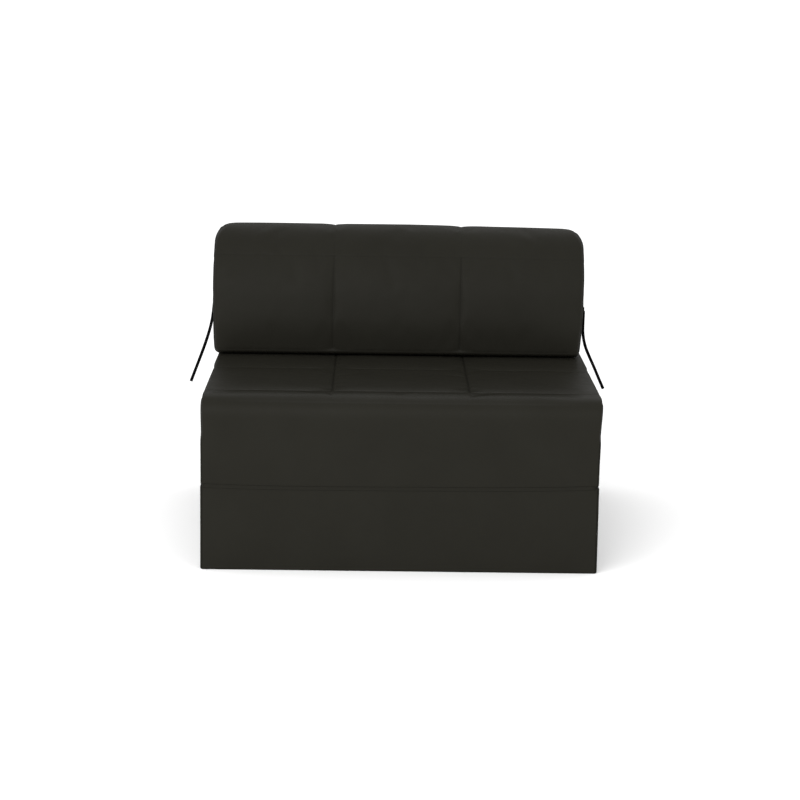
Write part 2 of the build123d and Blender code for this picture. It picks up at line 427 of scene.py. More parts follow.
def seam_distance(rest, one):
    """Each point's distance from a seam, how much the seam counts there, and the point's place along it."""
    along = rest[:, 3 - one.face_axis - one.line_axis]
    past = np.maximum(one.start - along, along - one.end)
    weight = in_face(rest, one.face_axis, one.face_at) * (1 - smooth_step(past, -SEAM_END, SEAM_END))
    return np.abs(rest[:, one.line_axis] - one.at), weight, along


def on_seams(rest, seams):
    """Which points lie on the line of one of the seams."""
    found = np.zeros(len(rest), bool)
    for one in seams:
        distance, weight, _ = seam_distance(rest, one)
        found |= (distance < EXACT) & (weight > 0.5)
    return found


def sew(piece, seams, seed):
    """Presses each seam into the cover: a narrow groove, a wide dip, and small puckers beside it."""
    mesh = piece.data
    rest = read_rest(mesh)
    points = read_points(mesh)
    groove, wide, pucker = np.zeros(len(points)), np.zeros(len(points)), np.zeros(len(points))
    for number, one in enumerate(seams):
        distance, weight, along = seam_distance(rest, one)
        groove = np.maximum(groove, one.strength * weight * np.exp(-((distance / GROOVE_WIDTH) ** 2)))
        wide = np.maximum(wide, one.dip * weight * np.exp(-distance / DIP_WIDTH))
        line = np.stack([along, distance * PUCKER_ACROSS, np.full(len(along), number * SEAM_SHIFT)], axis=1)
        waves = ripples(line, PUCKER_PITCH, seed + number)
        waves *= ripples(line, PUCKER_PITCH * PUCKER_PATCH, seed + PATCH_SEED + number)
        pucker += one.strength * weight * np.exp(-distance / PUCKER_REACH) * waves
    offset = -GROOVE_DEPTH * groove - DIP_DEPTH * wide + PUCKER_HEIGHT * pucker
    write_points(mesh, points + read_vectors(mesh.vertex_normals, "vector") * offset[:, None])
    # the groove's depth is kept for the leather, which paints shade into the seam grooves by it
    mesh.attributes.new("seam", "FLOAT", "POINT").data.foreach_set("value", groove)


def crease_height(x, half_width):
    """How far the front crease lies from its level line, along X."""
    return -CREASE_DROP - CREASE_SAG * (1 - (x / half_width) ** CREASE_POWER) + CREASE_TILT * x / half_width


def lower_crease(piece, low, high, crease_z):
    """Lets a block's front edge beside the crease hang, most at the crease and less away from it."""
    points = read_points(piece.data)
    x, y, z = points.T
    weight = np.clip(1 - np.abs(z - crease_z) / (high[2] - low[2]), 0, 1)
    weight *= np.exp(-(((y - low[1]) / CREASE_FADE) ** 2))
    points[:, 2] += weight * crease_height(x, high[0])
    write_points(piece.data, points)


# ---- materials


def new_material(name):
    material = bpy.data.materials.new(name)
    material.use_nodes = True
    tree = material.node_tree
    shader = tree.nodes["Principled BSDF"]
    return material, tree, shader


def add(tree, kind, **inputs):
    node = tree.nodes.new(kind)
    for key, value in inputs.items():
        node.inputs[key].default_value = value
    return node


def object_position(tree):
    return add(tree, "ShaderNodeTexCoord").outputs["Object"]


def noise(tree, position, scale, detail=3.0):
    node = add(tree, "ShaderNodeTexNoise", Scale=scale, Detail=detail, Roughness=0.55)
    tree.links.new(position, node.inputs["Vector"])
    return node.outputs["Fac"]


def mix_colour(tree, share, first, second):
    """first where share is 0, second where it is 1. Each is a colour or a socket that gives one."""
    node = tree.nodes.new("ShaderNodeMix")
    node.data_type = "RGBA"
    sockets = [s for s in node.inputs if s.name in ("A", "B") and s.type == "RGBA"]
    for socket, value in zip(sockets, (first, second)):
        if isinstance(value, bpy.types.NodeSocket):
            tree.links.new(value, socket)
        else:
            socket.default_value = value
    tree.links.new(share, next(s for s in node.inputs if s.name == "Factor" and s.type == "VALUE"))
    return next(s for s in node.outputs if s.type == "RGBA")


def map_range(tree, value, low, high, to_low, to_high):
    node = tree.nodes.new("ShaderNodeMapRange")
    for key, number in zip(("From Min", "From Max", "To Min", "To Max"), (low, high, to_low, to_high)):
        node.inputs[key].default_value = number
    tree.links.new(value, node.inputs["Value"])
    return node.outputs["Result"]


def patches(tree, position, scale, low=0.0, high=1.0, detail=3.0):
    """Soft random patches, from low to high."""
    return map_range(tree, noise(tree, position, scale, detail), 0.3, 0.7, low, high)


def bump(tree, height, strength, distance, under=None):
    node = add(tree, "ShaderNodeBump", Strength=strength, Distance=distance)
    tree.links.new(height, node.inputs["Height"])
    if under is not None:
        tree.links.new(under, node.inputs["Normal"])
    return node.outputs["Normal"]


def attribute(tree, name):
    node = tree.nodes.new("ShaderNodeAttribute")
    node.attribute_name = name
    return node.outputs["Fac"]


GLOSS_FADE = (0.55, 0.92)  # from facing the eye, 0, to edge on, 1


def dull_edges(tree, shader, gloss):
    """A matt coating: its gloss fades where the surface turns away, so that it has no bright rim."""
    weight = tree.nodes.new("ShaderNodeLayerWeight")
    level = map_range(tree, weight.outputs["Facing"], *GLOSS_FADE, gloss, 0.0)
    shader.inputs["Specular IOR Level"].default_value = gloss
    tree.links.new(level, shader.inputs["Specular IOR Level"])


LEATHER_LIGHT = (0.0134, 0.0128, 0.0100, 1)
LEATHER_DARK = (0.0122, 0.0116, 0.0090, 1)
# painted shade: the colour the leather darkens to in its seam grooves
LEATHER_SEAM_SHADE = (0.0026, 0.0025, 0.0020, 1)
LEATHER_GLOSS = 0.035
LEATHER_ROUGHNESS = (0.44, 0.50)
GRAIN_SCALE = 620.0
WOVEN_GLOSS = 0.06
WOVEN_ROUGHNESS = (0.79, 0.91)
METAL_COLOURS = ((0.02, 0.02, 0.02, 1), (0.16, 0.155, 0.15, 1))
COIL_COLOURS = ((0.008, 0.008, 0.008, 1), (0.02, 0.02, 0.019, 1))


def faux_leather():
    """Dark warm-grey coated fabric: fine pebbled grain, faint mottling, and painted shade in the seam
    grooves.
    """
    material, tree, shader = new_material("faux_leather")
    position = object_position(tree)
    colour = mix_colour(tree, patches(tree, position, 9.0, detail=4.0), LEATHER_DARK, LEATHER_LIGHT)
    # painted shade: the colour darkens where the seam grooves are deep
    seam_shade = map_range(tree, attribute(tree, "seam"), 0.1, 0.9, 0, 0.85)
    tree.links.new(mix_colour(tree, seam_shade, colour, LEATHER_SEAM_SHADE), shader.inputs["Base Color"])
    tree.links.new(patches(tree, position, 35.0, *LEATHER_ROUGHNESS), shader.inputs["Roughness"])
    grain = add(tree, "ShaderNodeTexVoronoi", Scale=GRAIN_SCALE, Randomness=0.9)
    grain.feature = "SMOOTH_F1"
    tree.links.new(position, grain.inputs["Vector"])
    pebbles = bump(tree, grain.outputs["Distance"], 0.10, 0.0005)
    soft = bump(tree, noise(tree, position, 45.0, detail=4.0), 0.04, 0.0010, pebbles)
    tree.links.new(soft, shader.inputs["Normal"])
    dull_edges(tree, shader, LEATHER_GLOSS)
    return material


def woven(name, dark, light, pitch=0.0006, depth=0.0003):
    """Cloth with a fine plain weave, from crossed sets of bands."""
    material, tree, shader = new_material(name)
    position = object_position(tree)
    bands = []
    for direction in ("X", "Y", "Z"):
        wave = add(tree, "ShaderNodeTexWave", Scale=0.5 / pitch / math.pi, Distortion=0.4)
        wave.bands_direction = direction
        tree.links.new(position, wave.inputs["Vector"])
        bands.append(wave.outputs["Fac"])
    joined = tree.nodes.new("ShaderNodeMath")
    joined.operation = "ADD"
    tree.links.new(bands[0], joined.inputs[0])
    tree.links.new(bands[1], joined.inputs[1])
    weave = tree.nodes.new("ShaderNodeMath")
    weave.operation = "MULTIPLY_ADD"
    weave.inputs[1].default_value = 0.33
    tree.links.new(joined.outputs[0], weave.inputs[0])
    tree.links.new(bands[2], weave.inputs[2])
    share = patches(tree, position, 140.0)
    tree.links.new(mix_colour(tree, share, dark, light), shader.inputs["Base Color"])
    tree.links.new(bump(tree, weave.outputs[0], 0.4, depth), shader.inputs["Normal"])
    tree.links.new(map_range(tree, share, 0, 1, *WOVEN_ROUGHNESS), shader.inputs["Roughness"])
    dull_edges(tree, shader, WOVEN_GLOSS)
    return material


def hard_finish(name, colours, roughness, metallic, scale, limits, pit_scale, pit_depth):
    """Metal or nylon of a zip: its colour and gloss vary in patches, and it has fine pits."""
    material, tree, shader = new_material(name)
    position = object_position(tree)
    share = map_range(tree, noise(tree, position, scale), *limits, 0, 1)
    tree.links.new(mix_colour(tree, share, *colours), shader.inputs["Base Color"])
    tree.links.new(map_range(tree, share, 0, 1, *roughness), shader.inputs["Roughness"])
    tree.links.new(bump(tree, noise(tree, position, pit_scale), 0.1, pit_depth), shader.inputs["Normal"])
    shader.inputs["Metallic"].default_value = metallic
    return material


LEATHER = faux_leather()
THREAD = woven("thread", (0.010, 0.0095, 0.008, 1), (0.022, 0.021, 0.018, 1), pitch=0.0003)
UNDERLAY = woven("underlay", (0.009, 0.009, 0.009, 1), (0.018, 0.018, 0.018, 1), pitch=0.0012, depth=0.0005)
HINGE_FABRIC = woven("hinge_fabric", (0.0118, 0.0113, 0.0088, 1), (0.0134, 0.0128, 0.0100, 1))
STRAP = woven("strap", (0.0006, 0.0006, 0.0006, 1), (0.0014, 0.0014, 0.0013, 1), pitch=0.0008)
ZIP_TAPE = woven("zip_tape", (0.006, 0.006, 0.006, 1), (0.013, 0.013, 0.013, 1))
ZIP_COIL = hard_finish("zip_coil", COIL_COLOURS, (0.32, 0.45), 0.0, 300.0, (0.3, 0.7), 1200.0, 0.0001)
ZIP_METAL = hard_finish("zip_metal", METAL_COLOURS, (0.38, 0.26), 0.9, 260.0, (0.45, 0.75), 900.0, 0.0002)


def paint(piece, *materials):
    piece.data.materials.clear()
    for material in materials:
        piece.data.materials.append(material)


# ---- stage and light


FLOOR_REACH = 600.0
FLOOR_COLOUR = (0.93, 0.93, 0.93, 1)
SURROUNDINGS_STRENGTH = 1.28
KEY_PLACE = (-1.7, -4.6, 2.4)
KEY_TARGET = (0, 0, 0.4)
KEY_SIZE = (4.0, 2.4)
KEY_POWER = 160


def make_stage():
    corners = [(x * FLOOR_REACH, y * FLOOR_REACH, 0) for x, y in ((-1, -1), (1, -1), (1, 1), (-1, 1))]
    floor = make_mesh("floor", corners, [(0, 1, 2, 3)])
    material, _, shader = new_material("floor")
    shader.inputs["Base Color"].default_value = FLOOR_COLOUR
    shader.inputs["Roughness"].default_value = 0.9
    shader.inputs["Specular IOR Level"].default_value = 0.0
    paint(floor, material)


def make_key_light():
    data = bpy.data.lights.new("key", "AREA")
    data.shape = "RECTANGLE"
    data.size, data.size_y = KEY_SIZE
    data.energy = KEY_POWER
    light = add_object("key", data)
    aim = (Vector(KEY_TARGET) - Vector(KEY_PLACE)).to_track_quat("-Z", "Y")
    light.matrix_world = Matrix.Translation(KEY_PLACE) @ aim.to_matrix().to_4x4()


def make_light():
    """Even white surroundings, and one large soft light from the front left."""
    world = bpy.data.worlds.new("world")
    scene.world = world
    world.use_nodes = True
    background = world.node_tree.nodes["Background"]
    background.inputs["Color"].default_value = (1, 1, 1, 1)
    background.inputs["Strength"].default_value = SURROUNDINGS_STRENGTH
    make_key_light()
    scene.view_settings.view_transform = "Standard"


make_stage()
make_light()

# ---- the two blocks

BLOCK_PRESSURE = 1.2
BLOCK_CAP = 0.003  # how far the swelling moves a point at most
MEETING_SHARE = 0.15  # how much of the swelling shows on the faces that meet in the open bed
END_FADE = 0.120  # nearer an end than this, the cover swells less
END_SOFT_RADIUS = 0.007
BLOCK_HALF_WIDTH = 0.450
SEAT_TOP = 0.400
LEFT_SWELL = 0.0018  # how far each end stands proud of its cut size
RIGHT_SWELL = 0.0032
TOP_LEFT_SWELL = 0.0030  # how much further it does at the seat's top
TOP_RIGHT_SWELL = 0.0100
SWELL_POWER = 5
END_SEAM_INSET = 0.0025
COLUMN_SEAM_DEPTH = (0.55, 0.6)  # strength and dip, here and below
ROW_SEAM_DEPTH = (0.22, 0.3)
END_SEAM_DEPTH = (0.55, 0.1)
CREASE_RADIUS = 0.003
FLOOR_RADIUS = 0.004
REAR_RADIUS = 0.010
FRONT_TOP_RADIUS = 0.042
UNDERSIDE_RECESS = 0.0025


def column_seams(face_z, start, end):
    return [Seam(2, face_z, 0, side * COLUMN_SEAM, start, end, *COLUMN_SEAM_DEPTH) for side in (-1, 1)]


def row_seams(face_z, rows, half_width):
    return [Seam(2, face_z, 1, row, -half_width, half_width, *ROW_SEAM_DEPTH) for row in rows]


def edge_seams(low, high):
    """The seams that join the end panels to the rest, just inside both ends, on the front, top and rear."""
    seams = []
    for end_x in (low[0] + END_SEAM_INSET, high[0] - END_SEAM_INSET):
        for axis, at in ((1, low[1]), (1, high[1]), (2, high[2])):
            seams.append(Seam(axis, at, 0, end_x, low[3 - axis], high[3 - axis], *END_SEAM_DEPTH))
    return seams


def make_block(prefix, radii, seams, pinned_faces, crease_z, seed, panel=None, loaded_from=math.inf):
    """One block's cover. Its top stays flat behind the Y loaded_from, where something rests on it."""
    low, high = span(*covers(prefix))
    marks = [list(dict.fromkeys(one.at for one in seams if one.line_axis == axis)) for axis in range(3)]
    zip_low, zip_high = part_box(f"{prefix}_zip_tape")
    marks[2] += [zip_low[2], zip_high[2]]
    if panel:
        panel_low, panel_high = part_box(panel)
        marks[0] += [panel_low[0], panel_high[0]]
        marks[1] += [panel_low[1], panel_high[1]]
    front, rear = max(radii.front_top, radii.front_bottom), max(radii.rear_top, radii.rear_bottom)
    lines = [
        grid_lines(low[0], high[0], END_SOFT_RADIUS, END_SOFT_RADIUS, marks[0]),
        grid_lines(low[1], high[1], front, rear, marks[1]),
        grid_lines(low[2], high[2], radii.front_bottom, radii.front_top, marks[2], flanks=ZIP_FLANKS),
    ]
    rest, quads = box_grid(lines)
    piece = make_mesh(f"{prefix}_cover", round_block(rest, low, high, radii, END_SOFT_RADIUS), quads)
    keep_rest(piece.data, rest)
    pinned = on_seams(rest, seams) | in_panel(rest, 0, low[0], zip_low, zip_high)
    pinned |= in_face(rest, 2, high[2]) & (rest[:, 1] > loaded_from)
    for axis, at in pinned_faces:
        pinned |= in_face(rest, axis, at)
    share = smooth_step(high[0] - np.abs(rest[:, 0]), 0.0, END_FADE)
    share[in_face(rest, 1, low[1]) | in_face(rest, 1, high[1])] *= MEETING_SHARE
    inflate(piece, pinned, BLOCK_PRESSURE, BLOCK_CAP, share)
    subdivide(piece)
    sew(piece, seams, seed)
    swell_ends(piece)
    rest = read_rest(piece.data)
    level(piece, in_panel(rest, 0, low[0], zip_low, zip_high), 0, low[0] + ZIP_RECESS)
    if panel:
        level(piece, in_panel(rest, 2, low[2], panel_low, panel_high), 2, low[2] + UNDERSIDE_RECESS)
    lower_crease(piece, low, high, crease_z)
    paint(piece, LEATHER)
    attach(piece, prefix)
    return piece


def swell_ends(piece):
    """The soft ends stand a little proud of the cut size, more towards the seat's top."""
    points = read_points(piece.data)
    height = (points[:, 2] / SEAT_TOP) ** SWELL_POWER
    left, right = LEFT_SWELL + TOP_LEFT_SWELL * height, RIGHT_SWELL + TOP_RIGHT_SWELL * height
    points[:, 0] *= 1 + np.where(points[:, 0] < 0, left, right) / BLOCK_HALF_WIDTH
    write_points(piece.data, points)


def in_panel(rest, axis, at, low, high):
    """Which points lie on the face at `at` along an axis, inside a rectangle between two corners."""
    inside = in_face(rest, axis, at)
    for other in {0, 1, 2} - {axis}:
        inside &= (rest[:, other] > low[other] - EXACT) & (rest[:, other] < high[other] + EXACT)
    return inside


def level(piece, inside, axis, at):
    """Lays some of the points on a flat level, such as the floor of a recess."""
    points = read_points(piece.data)
    points[inside, axis] = at
    write_points(piece.data, points)


def make_base():
    low, high = span(*covers("base"))
    radii = Radii(CREASE_RADIUS, FLOOR_RADIUS, REAR_RADIUS, FLOOR_RADIUS)
    half = high[0] - END_SEAM_INSET
    seams = column_seams(high[2], low[1] + END_SEAM_INSET, high[1] - END_SEAM_INSET)
    seams += row_seams(high[2], (-SLEEPING_ROW, SLEEPING_ROW), half)
    seams += edge_seams(low, high)
    flat = [(2, low[2]), (2, high[2])]
    piece = make_block("base", radii, seams, flat, high[2], seed=11, panel="base_cover_underside")
    seen = [name for name in covers("base") if name != "base_cover_underside"]
    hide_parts(*seen, "base_foam", "base_liner", "base_sleeping_wadding")


def make_seat():
    low, high = span(*covers("seat"))
    front_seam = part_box("seat_cover_front")[1][1]
    rows = [front_seam, front_seam + ROW_PITCH, front_seam + 2 * ROW_PITCH]
    half = high[0] - END_SEAM_INSET
    radii = Radii(FRONT_TOP_RADIUS, CREASE_RADIUS, REAR_RADIUS, REAR_RADIUS)
    seams = column_seams(high[2], front_seam, high[1] - END_SEAM_INSET) + row_seams(high[2], rows, half)
    seams += column_seams(low[2], low[1] + END_SEAM_INSET, high[1] - END_SEAM_INSET)
    seams += row_seams(low[2], (-SLEEPING_ROW, SLEEPING_ROW), half)
    seams += edge_seams(low, high)
    back_foot = BACK_SIDE_VIEW[0][0][0]
    piece = make_block("seat", radii, seams, [(2, low[2])], low[2], seed=23, loaded_from=back_foot)
    insides = [f"seat_{part}" for part in ("foam", "liner", "top_wadding", "sleeping_wadding")]
    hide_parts(*covers("seat"), *insides)


# ---- the back bolster

BACK_LEVEL = 0.401
BACK_HEIGHT = 0.320
BACK_SIDE_VIEW = [  # corners of the outline as (y, z), each with its radius, from the front of the foot
    ((0.124, BACK_LEVEL), 0.016),
    ((0.112, 0.470), 0.150),
    ((0.128, 0.610), 0.280),
    ((0.200, 0.728), 0.095),
    ((0.455, 0.692), 0.060),
    ((0.475, BACK_LEVEL), 0.012),
]
BACK_HEART = np.array([0.300, 0.550])  # the middle of each end, as (y, z)
BACK_FOOT_HALF_WIDTH = 0.456
BACK_HALF_WIDTH = 0.463
BACK_WIDEST_Z = 0.620
BACK_WIDEST_REACH = 0.220  # this far above or below, it is as narrow as at its foot
BACK_SHOULDER_Z = 0.682
BACK_SHOULDER_RADIUS = 0.042
BACK_END_RADIUS = 0.014
BACK_SAG = 0.005  # how far its top sags, and how much more at the right
BACK_RIGHT_SAG = 0.005
BACK_SHIFT = -0.0022  # how far it lies to the left, and how much more at its foot
BACK_FOOT_SHIFT = -0.0030
BACK_STRAIGHT = 0.30  # nearer the middle than this, grid lines keep their X
BACK_SEAM_TURN = 50  # degrees round the rounded end at which its seam lies
BACK_END_SEAM = BACK_HALF_WIDTH - BACK_END_RADIUS * (1 - math.sin(math.radians(BACK_SEAM_TURN)))
END_TURNS = (90, 70, BACK_SEAM_TURN, 30, 12)
BACK_COLUMN_SEAMS = (-0.1615, 0.1555)
BACK_TOP_SEAM_Z = 0.651
BACK_REAR_SEAM_Y = 0.395
BACK_FOOT_SEAM_Z = 0.415
BACK_PRESSURE = 1.5
BACK_CAP = 0.0038
BACK_ROW_SEAM = (0.22, 0.15)  # strength and dip
BACK_LOWER_SEAM = (0.30, 1.5)
BACK_UPPER_SEAM = (0.16, 0.25)
BACK_FREE_DEPTH = 0.12  # the end's surface stays where it is further in than this share
END_CAP_RINGS = np.linspace(0.10, 0.90, 9)
OUTLINE_STEP = 0.002


def rounded_outline(corners):
    """Closed outline with rounded corners: the length along it, and the point, at close steps."""
    points = []
    for number, (corner, radius) in enumerate(corners):
        corner = np.array(corner)
        before = np.array(corners[number - 1][0]) - corner
        after = np.array(corners[(number + 1) % len(corners)][0]) - corner
        before, after = before / np.linalg.norm(before), after / np.linalg.norm(after)
        half = math.acos(np.clip(before @ after, -1, 1)) / 2
        middle = corner + (before + after) / np.linalg.norm(before + after) * radius / math.sin(half)
        start = corner + before * radius / math.tan(half) - middle
        end = corner + after * radius / math.tan(half) - middle
        turn = math.pi - 2 * half
        for share in np.linspace(0, 1, max(4, round(radius * turn / OUTLINE_STEP))):
            arm = start * math.sin((1 - share) * turn) + end * math.sin(share * turn)
            points.append(middle + arm / math.sin(turn))
    points = np.array(points + points[:1])
    lengths = np.concatenate([[0], np.cumsum(np.linalg.norm(np.diff(points, axis=0), axis=1))])
    return lengths, points


def length_where(outline, axis, value, beyond=0.0):
    """Length along the outline where it first reaches a Y or Z value, past the length beyond."""
    lengths, points = outline
    fine = np.arange(beyond, lengths[-1], OUTLINE_STEP / 10)
    offset = np.interp(fine, lengths, points[:, axis]) - value
    return fine[np.flatnonzero(offset[:-1] * offset[1:] <= 0)[0]]


def back_half_width(z):
    """Half the bolster's width at a height: a slight bulge, drawn in over the shoulders."""
    lean = np.minimum(1, ((z - BACK_WIDEST_Z) / BACK_WIDEST_REACH) ** 2)
    over = np.clip((z - BACK_SHOULDER_Z) / BACK_SHOULDER_RADIUS, 0, 0.999)
    shoulder = BACK_SHOULDER_RADIUS * (1 - np.sqrt(1 - over**2))
    return BACK_HALF_WIDTH - (BACK_HALF_WIDTH - BACK_FOOT_HALF_WIDTH) * lean - shoulder


def back_rings(columns):
    """The bolster's rings from end to end: (X, how far inside the outline, share of the outline kept)."""
    flat = BACK_HALF_WIDTH - BACK_END_RADIUS
    cap = [(BACK_HALF_WIDTH, BACK_END_RADIUS, keep) for keep in END_CAP_RINGS]
    for turn in np.radians(END_TURNS):
        cap.append((flat + BACK_END_RADIUS * math.sin(turn), BACK_END_RADIUS * (1 - math.cos(turn)), 1.0))
    middle = [(x, 0.0, 1.0) for x in grid_lines(-flat, flat, 0, 0, columns)]
    return [(-x, inset, keep) for x, inset, keep in cap] + middle + cap[::-1]


def back_surface(outline, seam_lengths, columns):
    """Points, faces and rest places (X, length round the outline, depth into the end) of the bolster."""
    lengths, line = outline
    steps = grid_lines(0, lengths[-1], 0, 0, seam_lengths)[:-1]
    place = np.stack([np.interp(steps, lengths, line[:, axis]) for axis in (0, 1)], axis=1)
    reach = np.linalg.norm(place - BACK_HEART, axis=1)[:, None]
    toward = (place - BACK_HEART) / reach
    points, rest = [], []
    for x, inset, keep in back_rings(columns):
        ring = BACK_HEART + toward * (reach - inset) * keep
        drawn_in = BACK_HALF_WIDTH - back_half_width(ring[:, 1])
        share = np.clip((abs(x) - BACK_STRAIGHT) / (BACK_HALF_WIDTH - BACK_STRAIGHT), 0, 1)
        points.append(np.column_stack([x - np.sign(x) * drawn_in * share, ring]))
        rest.append(np.column_stack([np.full(len(steps), x), steps, np.full(len(steps), 1.0 - keep)]))
    count, rings = len(steps), len(points)
    faces = ring_faces(rings, count)
    left, right = rings * count, rings * count + 1
    last = (rings - 1) * count
    for j in range(count):
        k = (j + 1) % count
        faces.append((left, j, k))
        faces.append((last + j, right, last + k))
    for side in (-1, 1):
        points.append([[side * back_half_width(BACK_HEART[1]), *BACK_HEART]])
        rest.append([[side * BACK_HALF_WIDTH, 0.0, 1.0]])
    return np.vstack(points), faces, np.vstack(rest)


def make_back():
    outline = rounded_outline(BACK_SIDE_VIEW)
    total = outline[0][-1]
    foot = length_where(outline, 1, BACK_FOOT_SEAM_Z)
    front = length_where(outline, 1, BACK_TOP_SEAM_Z, foot)
    rear = length_where(outline, 0, BACK_REAR_SEAM_Y, front)
    zip_low, zip_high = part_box("back_zip_tape")
    zip_top = length_where(outline, 1, zip_high[2], rear)
    zip_bottom = length_where(outline, 1, zip_low[2], rear)
    rear_foot = length_where(outline, 1, BACK_FOOT_SEAM_Z, rear)
    rows = [foot, front, rear, rear_foot]
    points, faces, rest = back_surface(outline, [*rows, zip_top, zip_bottom], BACK_COLUMN_SEAMS)
    piece = make_mesh("back_cover", points, faces)
    keep_rest(piece.data, rest)
    seams = [Seam(2, 0.0, 1, row, -BACK_END_SEAM, BACK_END_SEAM, *BACK_ROW_SEAM) for row in rows]
    for x in BACK_COLUMN_SEAMS:
        seams.append(Seam(2, 0.0, 0, x, foot, front, *BACK_LOWER_SEAM))
        seams.append(Seam(2, 0.0, 0, x, front, rear, *BACK_UPPER_SEAM))
    seams += [Seam(2, 0.0, 0, side * BACK_END_SEAM, 0, total, *END_SEAM_DEPTH) for side in (-1, 1)]

    def in_zip(rest):
        return (np.abs(rest[:, 0]) < zip_high[0]) & (rest[:, 1] > zip_top) & (rest[:, 1] < zip_bottom)

    resting = (points[:, 2] < BACK_FOOT_SEAM_Z) | (rest[:, 2] > BACK_FREE_DEPTH)
    inflate(piece, resting | in_zip(rest) | on_seams(rest, seams), BACK_PRESSURE, BACK_CAP)
    subdivide(piece)
    sew(piece, seams, seed=37)
    settle_back(piece, in_zip(read_rest(piece.data)))
    paint(piece, LEATHER)
    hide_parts(*covers("back"), "back_foam", "back_liner", "back_wadding")
    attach(piece, "back")
    return piece


def settle_back(piece, in_zip):
    """The bolster sags towards its top, more at the right, lies level on the seat, and takes in its zip."""
    points = read_points(piece.data)
    height = (points[:, 2] - BACK_LEVEL) / BACK_HEIGHT
    lean = smooth_step(points[:, 0], 0.0, BACK_HALF_WIDTH)
    points[:, 2] -= (BACK_SAG + BACK_RIGHT_SAG * lean) * np.clip(height, 0, 1) ** 2
    points[in_zip, 1] -= ZIP_RECESS
    points[:, 2] = np.maximum(points[:, 2], BACK_LEVEL)
    points[~in_zip, 0] += BACK_SHIFT + BACK_FOOT_SHIFT * (1 - np.clip(height[~in_zip], 0, 1)) ** 2
    write_points(piece.data, points)


make_base()
make_seat()
back_cover = make_back()

# ---- ties

TIE_TURN = 0.22  # how far the strap twists to and fro along its length, in radians
HEM_LENGTH = 0.011
HEM_EXTRA = 0.0011
PATCH_SIZE = (0.030, 0.044)
PATCH_CORNER = 0.004
PATCH_THICKNESS = 0.0022
PATCH_GRID = (14, 20)
PATCH_FLATNESS = 16
PATCH_SINK = 0.001
PATCH_MARGIN = 0.0035
SLEEVE_SIZE = (0.0052, 0.0105, 0.013)
SLEEVE_SINK = 0.001
SLEEVE_LIFT = 0.3  # how far its middle is above the strap's exit, as a share of its height
SLEEVE_BEVEL = 0.0016
SELVEDGE_TURN = 1.2
SELVEDGE_POINTS = 5


def route_line(route):
    """Points close together along a smooth curve that a route steers."""
    data = bpy.data.curves.new("route", "CURVE")
    data.dimensions = "3D"
    data.resolution_u = 8
    spline = data.splines.new("NURBS")
    spline.points.add(len(route) - 1)
    for point, place in zip(spline.points, route):
        point.co = (*place, 1.0)
    spline.order_u = 3
    spline.use_endpoint_u = True
    curve = add_object("route", data)
    graph = bpy.context.evaluated_depsgraph_get()
    graph.update()
    mesh = bpy.data.meshes.new_from_object(curve.evaluated_get(graph))
    line = read_points(mesh)
    bpy.data.objects.remove(curve)
    bpy.data.meshes.remove(mesh)
    return line


def strap_section(width, thickness):
    """The strap's cut end: flat faces with rounded selvedges, as (across, through) pairs."""
    half, radius = width / 2, thickness / 2
    turns = np.linspace(-SELVEDGE_TURN, SELVEDGE_TURN, SELVEDGE_POINTS)
    right = [(half - radius + radius * math.cos(turn), radius * math.sin(turn)) for turn in turns]
    right += [(half * share, radius) for share in (0.4, 0, -0.4)]
    return right + [(-across, -through) for across, through in right]


def make_tie(side, route):
    """A flat strap with a hemmed end, which hangs along its route from a patch on the bolster's end."""
    line = route_line(route)
    tangents = np.gradient(line, axis=0)
    tangents /= np.linalg.norm(tangents, axis=1)[:, None]
    lengths = np.concatenate([[0], np.cumsum(np.linalg.norm(np.diff(line, axis=0), axis=1))])
    points = []
    for place, tangent, length in zip(line, tangents, lengths):
        across = np.cross(tangent, (0, 1, 0))
        across /= np.linalg.norm(across)
        through = np.cross(tangent, across)
        turn = TIE_TURN * math.sin(2 * math.pi * length / lengths[-1])
        across, through = (
            across * math.cos(turn) + through * math.sin(turn),
            through * math.cos(turn) - across * math.sin(turn),
        )
        in_hem = length > lengths[-1] - HEM_LENGTH
        section = strap_section(STRAP_WIDTH, STRAP_THICKNESS + HEM_EXTRA * in_hem)
        points += [place + across * a + through * b for a, b in section]
    count = len(section)
    faces = ring_faces(len(line), count, flip=True)
    faces.append(tuple(reversed(range(count))))
    faces.append(tuple(range((len(line) - 1) * count, len(line) * count)))
    strap = make_mesh(f"{side}_strap", points, faces)
    paint(strap, STRAP)
    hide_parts(f"{side}_tie")
    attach(strap, "back")
    anchor = make_anchor(side, Vector(route[0]))
    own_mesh(strap)


def surface_x(tree, side, y, z):
    """X of the bolster's end at a place, on the side -1 or 1."""
    return tree.ray_cast(Vector((side, y, z)), Vector((-side, 0, 0)))[0].x


def make_anchor(side_name, strap_exit):
    """A stitched leather patch on the bolster's end, with a sleeve that the strap comes out of."""
    side = -1 if side_name == "left" else 1
    tree = BVHTree.FromObject(back_cover, bpy.context.evaluated_depsgraph_get())
    low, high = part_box(f"{side_name}_tie_anchor")
    middle = ((low[1] + high[1]) / 2, high[2] - PATCH_SIZE[1] / 2)
    work = bmesh.new()
    add_patch(work, tree, side, middle)
    sleeve_offset = Vector((-side * SLEEVE_SINK, 0, SLEEVE_SIZE[2] * SLEEVE_LIFT))
    add_box(work, strap_exit + sleeve_offset, SLEEVE_SIZE, SLEEVE_BEVEL)
    leather_faces = len(work.faces)
    for a, b in patch_stitches(middle):
        ends = [Vector((surface_x(tree, side, y, z) + side * PATCH_THICKNESS, y, z)) for y, z in (a, b)]
        add_stitch(work, *ends, Vector((side, 0, 0)))
    anchor = finish_mesh(work, f"{side_name}_patch", leather_faces, LEATHER, THREAD)
    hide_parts(f"{side_name}_tie_anchor")
    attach(anchor, "back")
    return anchor


